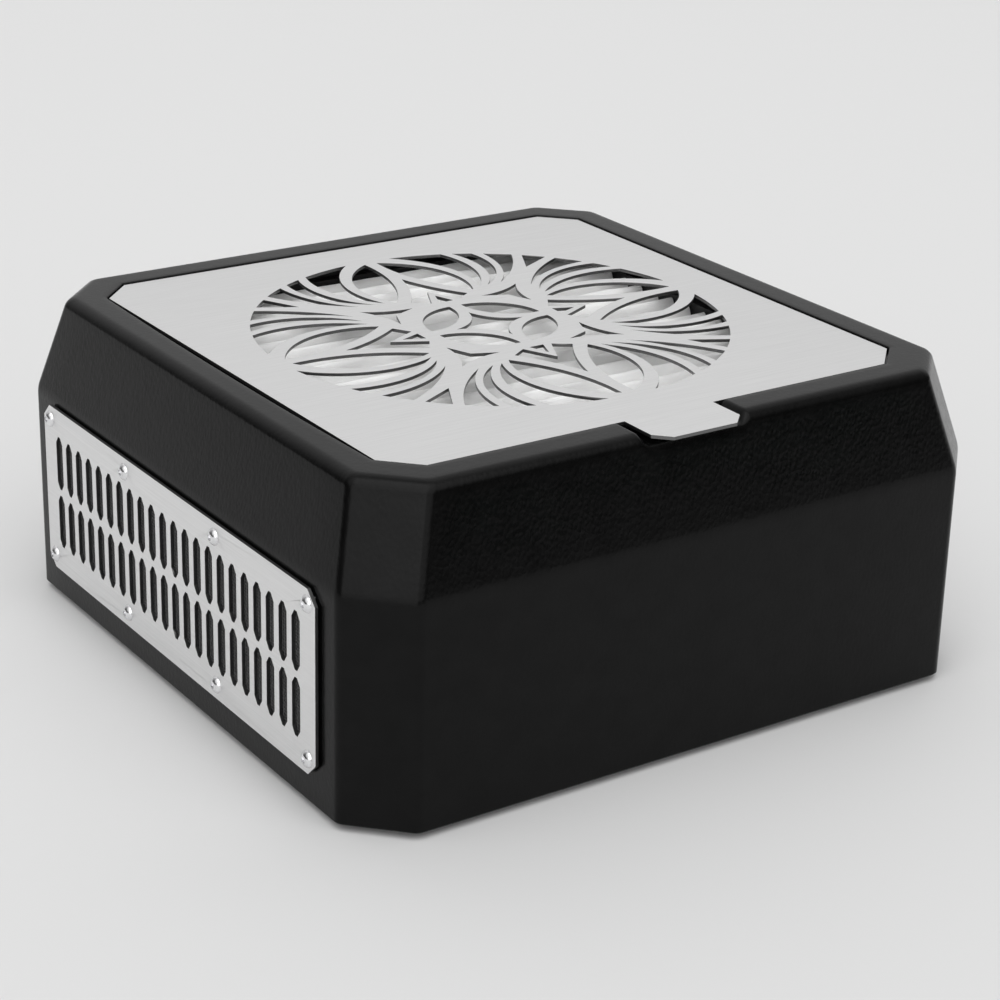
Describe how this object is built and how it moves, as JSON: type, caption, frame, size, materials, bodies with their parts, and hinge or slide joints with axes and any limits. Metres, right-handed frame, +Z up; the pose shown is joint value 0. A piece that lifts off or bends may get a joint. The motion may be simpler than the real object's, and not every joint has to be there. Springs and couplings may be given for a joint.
{
  "type": "nail dust collector",
  "caption": "Square desk-top nail dust extractor with sloped sides, a flower-cut stainless plate over a pleated filter, an axial fan and slotted side vents.",
  "frame": {"origin": "on the table, under the middle of the body", "axes": "+X to the user's right, -Y towards the user and the plate's finger tab, +Z up"},
  "size_m": [0.3256, 0.317, 0.144],
  "materials": {
    "black_abs": "leather-grained thermoformed ABS sheet",
    "black_plastic": "moulded black ABS",
    "brushed_steel": "brushed stainless sheet",
    "bright_screw": "bright zinc-plated screws",
    "dark_mesh": "dark woven wire mesh",
    "zinc_steel": "zinc-plated steel",
    "rubber": "black rubber",
    "filter_fleece": "white pleated filter fleece",
    "foam": "black foam strip",
    "cast_alloy": "cast aluminium fan frame, dark finish",
    "fan_plastic": "glass-filled nylon",
    "bearing_steel": "bearing steel",
    "lamination": "silicon-steel laminations",
    "copper": "enamelled copper wire",
    "brass": "brass contacts",
    "gloss_plastic": "glossy black nylon",
    "wire_blue": "PVC insulation, blue",
    "wire_brown": "PVC insulation, brown",
    "wire_green": "PVC insulation, green and yellow",
    "block_abs": "black ABS blocks"
  },
  "bodies": {
    "housing": {"housing_shell": "black_abs", "corner_blocks": "block_abs", "base_plate": "black_plastic", "base_screws": "zinc_steel", "rubber_feet": "rubber", "foot_screws": "zinc_steel", "foot_nuts": "zinc_steel", "filter_tray": "black_plastic", "tray_screws": "zinc_steel", "tray_nuts": "zinc_steel", "fan_guard": "zinc_steel", "fan_frame": "cast_alloy", "fan_screws": "bright_screw", "fan_washers": "rubber", "fan_nuts": "zinc_steel", "fan_terminal": "gloss_plastic", "bearing_tube": "zinc_steel", "stator_core": "lamination", "stator_windings": "copper", "service_panel": "zinc_steel", "panel_screws": "zinc_steel", "panel_nuts": "zinc_steel", "power_inlet": "gloss_plastic", "inlet_pins": "brass", "switch_body": "gloss_plastic", "switch_tabs": "brass", "neutral_lead": "wire_blue", "live_lead": "wire_brown", "switched_lead": "wire_brown", "earth_lead": "wire_green", "lower_bearing": "bearing_steel", "upper_bearing": "bearing_steel", "left_vent_plate": "brushed_steel", "left_vent_mesh": "dark_mesh", "left_vent_screws": "bright_screw", "left_vent_nuts": "zinc_steel", "right_vent_plate": "brushed_steel", "right_vent_mesh": "dark_mesh", "right_vent_screws": "bright_screw", "right_vent_nuts": "zinc_steel"},
    "top_plate": {"grille_plate": "brushed_steel"},
    "filter_cassette": {"filter_frame": "black_plastic", "filter_seal": "foam", "filter_media": "filter_fleece"},
    "fan_rotor": {"fan_impeller": "fan_plastic", "motor_shaft": "bearing_steel", "shaft_clip": "zinc_steel", "rotor_ring": "lamination"},
    "rocker": {"switch_rocker": "gloss_plastic"}
  },
  "joints": [
    {"name": "plate_lift", "type": "slide", "parent": "housing", "child": "top_plate", "axis": [0, 0, 1], "range_m": [0, 0.1]},
    {"name": "filter_lift", "type": "slide", "parent": "housing", "child": "filter_cassette", "axis": [0, 0, 1], "range_m": [0, 0.06]},
    {"name": "fan_spin", "type": "hinge", "parent": "housing", "child": "fan_rotor", "pos_m": [0, 0, 0.074], "axis": [0, 0, 1], "continuous": true},
    {"name": "power_rocker", "type": "hinge", "parent": "housing", "child": "rocker", "pos_m": [0.102, 0.1545, 0.045], "axis": [1, 0, 0], "range_deg": [0, 12]}
  ],
  "couplings": [
    {"joint": "filter_lift", "follows": "plate_lift", "ratio": 0.6}
  ]
}
